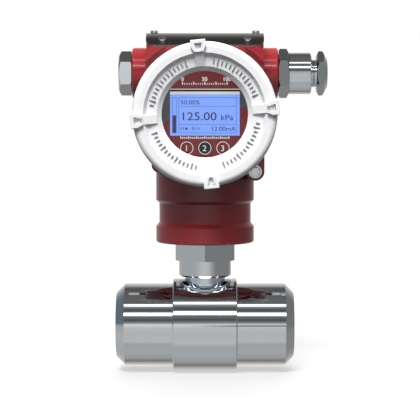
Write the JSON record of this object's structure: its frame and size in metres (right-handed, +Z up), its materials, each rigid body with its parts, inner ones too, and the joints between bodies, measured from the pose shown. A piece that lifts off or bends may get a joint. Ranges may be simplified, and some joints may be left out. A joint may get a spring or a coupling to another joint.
{
  "type": "pressure transmitter",
  "caption": "Inline pressure transmitter on a polished steel pipe tee, with a red electronics housing, white screw-on window cover, display, keys, conduit plug and cable gland.",
  "frame": {"origin": "centre of the process pipe's bore, under the sensor stem", "axes": "+X along the pipe towards the cable gland, -Y towards the window, +Z up the stem"},
  "size_m": [0.1477, 0.1164, 0.2374],
  "materials": {
    "polished_steel": "mirror-polished stainless steel",
    "bright_steel": "bright stainless steel",
    "plate_steel": "satin stainless sheet",
    "red_paint": "gloss deep red enamel on die-cast aluminium",
    "white_paint": "gloss white enamel on die-cast aluminium",
    "window_glass": "clear toughened glass",
    "black_metal": "black anodised aluminium",
    "face_plastic": "dark red printed face",
    "lcd_glass": "blue backlit LCD",
    "key_plastic": "moulded key tops",
    "seal_rubber": "black nitrile rubber",
    "circuit_board": "green solder mask",
    "component_black": "black moulded plastic",
    "plated_brass": "nickel-plated brass",
    "lead_sheath": "black lead sheath"
  },
  "bodies": {
    "root": {"process_pipe": "polished_steel", "sensor_stem": "polished_steel", "sensor_capsule": "bright_steel", "capsule_ring": "bright_steel", "capsule_seal": "seal_rubber", "neck_seal": "seal_rubber", "housing": "red_paint", "display_face": "face_plastic", "lcd_module": "lcd_glass", "display_board": "circuit_board", "display_standoffs": "plated_brass", "display_screws": "bright_steel", "main_board": "circuit_board", "board_components": "component_black", "main_board_screws": "bright_steel", "lead_plug": "component_black", "sensor_lead": "lead_sheath", "terminal_block": "component_black", "terminal_screws": "plated_brass", "terminal_block_screws": "bright_steel", "inner_ground_screw": "bright_steel", "nameplate": "plate_steel", "nameplate_screws": "bright_steel", "gland_seal": "seal_rubber", "gland_body": "polished_steel", "gland_bush": "seal_rubber", "cover_lock_screws": "bright_steel", "neck_lock_screw": "bright_steel"},
    "front_seal": {"front_cover_seal": "seal_rubber"},
    "front_cover": {"front_cover": "white_paint", "front_window": "window_glass", "window_gasket": "seal_rubber", "window_ring": "black_metal"},
    "rear_seal": {"rear_cover_seal": "seal_rubber"},
    "rear_cover": {"rear_cover": "white_paint"},
    "gland_slip_ring": {"gland_ring": "bright_steel"},
    "gland_nut": {"gland_nut": "polished_steel"},
    "plug_ring": {"plug_seal": "seal_rubber"},
    "conduit_plug": {"conduit_plug": "polished_steel"},
    "ground_washer": {"ground_washer": "bright_steel"},
    "ground_screw": {"ground_screw": "bright_steel"},
    "key_left": {"key_left": "key_plastic"},
    "key_middle": {"key_middle": "key_plastic"},
    "key_right": {"key_right": "key_plastic"}
  },
  "joints": [
    {"name": "front_cover_travel", "type": "slide", "parent": "root", "child": "front_seal", "axis": [0, -1, 0], "range_m": [0, 0.01]},
    {"name": "front_cover_turn", "type": "hinge", "parent": "front_seal", "child": "front_cover", "pos_m": [0, -0.036, 0.1475], "axis": [0, -1, 0], "range_deg": [0, 1800]},
    {"name": "rear_cover_travel", "type": "slide", "parent": "root", "child": "rear_seal", "axis": [0, 1, 0], "range_m": [0, 0.01]},
    {"name": "rear_cover_turn", "type": "hinge", "parent": "rear_seal", "child": "rear_cover", "pos_m": [0, 0.036, 0.1475], "axis": [0, 1, 0], "range_deg": [0, 1800]},
    {"name": "gland_nut_travel", "type": "slide", "parent": "root", "child": "gland_slip_ring", "axis": [1, 0, 0], "range_m": [0, 0.006]},
    {"name": "gland_nut_turn", "type": "hinge", "parent": "gland_slip_ring", "child": "gland_nut", "pos_m": [0.0665, 0.014, 0.176], "axis": [1, 0, 0], "range_deg": [0, 1440]},
    {"name": "conduit_plug_travel", "type": "slide", "parent": "root", "child": "plug_ring", "axis": [-1, 0, 0], "range_m": [0, 0.012]},
    {"name": "conduit_plug_turn", "type": "hinge", "parent": "plug_ring", "child": "conduit_plug", "pos_m": [-0.0516, 0.014, 0.176], "axis": [-1, 0, 0], "range_deg": [0, 2880]},
    {"name": "ground_screw_travel", "type": "slide", "parent": "root", "child": "ground_washer", "axis": [0, -1, 0], "range_m": [0, 0.007]},
    {"name": "ground_screw_turn", "type": "hinge", "parent": "ground_washer", "child": "ground_screw", "pos_m": [0.0344, -0.03, 0.1083], "axis": [0, -1, 0], "range_deg": [0, 3600]},
    {"name": "key_left_press", "type": "slide", "parent": "root", "child": "key_left", "axis": [0, 1, 0], "range_m": [0, 0.0005], "stiffness_N_per_m": 800},
    {"name": "key_middle_press", "type": "slide", "parent": "root", "child": "key_middle", "axis": [0, 1, 0], "range_m": [0, 0.0005], "stiffness_N_per_m": 800},
    {"name": "key_right_press", "type": "slide", "parent": "root", "child": "key_right", "axis": [0, 1, 0], "range_m": [0, 0.0005], "stiffness_N_per_m": 800}
  ],
  "couplings": [
    {"joint": "front_cover_travel", "follows": "front_cover_turn", "m_per_rad": 0.00031831},
    {"joint": "rear_cover_travel", "follows": "rear_cover_turn", "m_per_rad": 0.00031831},
    {"joint": "gland_nut_travel", "follows": "gland_nut_turn", "m_per_rad": 0.00023873},
    {"joint": "conduit_plug_travel", "follows": "conduit_plug_turn", "m_per_rad": 0.00023873},
    {"joint": "ground_screw_turn", "follows": "ground_screw_travel", "rad_per_m": 8976}
  ]
}
